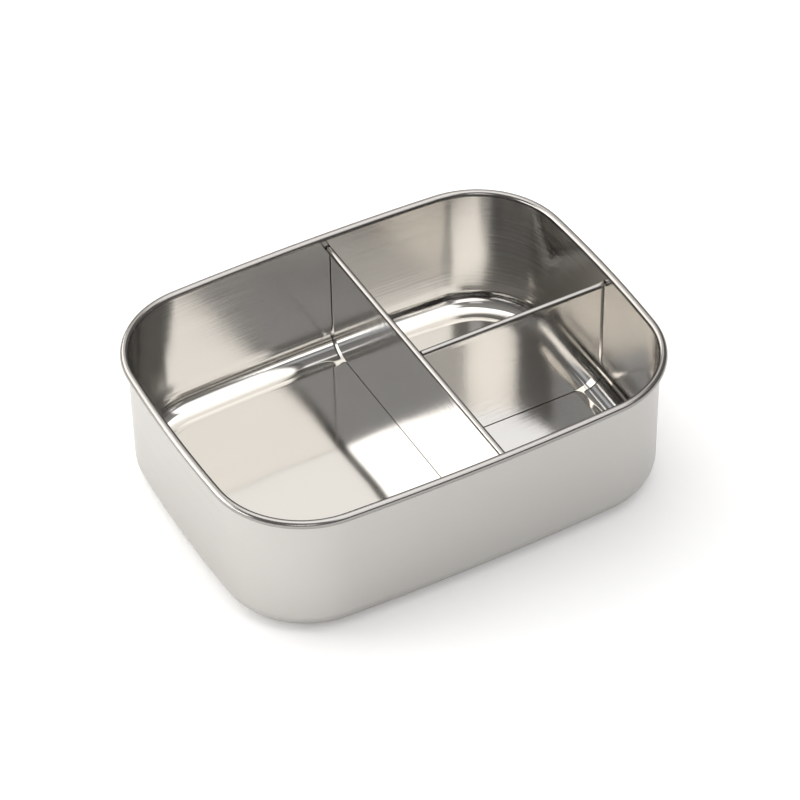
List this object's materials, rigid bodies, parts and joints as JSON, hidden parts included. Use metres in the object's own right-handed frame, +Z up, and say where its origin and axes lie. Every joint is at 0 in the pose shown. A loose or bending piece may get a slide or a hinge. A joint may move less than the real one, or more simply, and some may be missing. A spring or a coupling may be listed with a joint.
{
  "type": "bento lunch box",
  "caption": "Open stainless steel lunch box tray with round corners, a rolled rim and a lift-out T-shaped divider that makes one large and two small compartments.",
  "frame": {"origin": "on the table under the middle of the tray", "axes": "+X along the long side, towards the two small compartments; +Y across the tray; +Z up"},
  "size_m": [0.18, 0.138, 0.0559],
  "materials": {
    "tray_steel": "satin outside, polished inside",
    "divider_steel": "polished"
  },
  "bodies": {
    "tray": {"tray": "tray_steel"},
    "divider": {"cross_divider": "divider_steel", "side_divider": "divider_steel"}
  },
  "joints": [
    {"name": "divider_lift", "type": "slide", "parent": "tray", "child": "divider", "axis": [0, 0, 1], "range_m": [0, 0.07]}
  ]
}
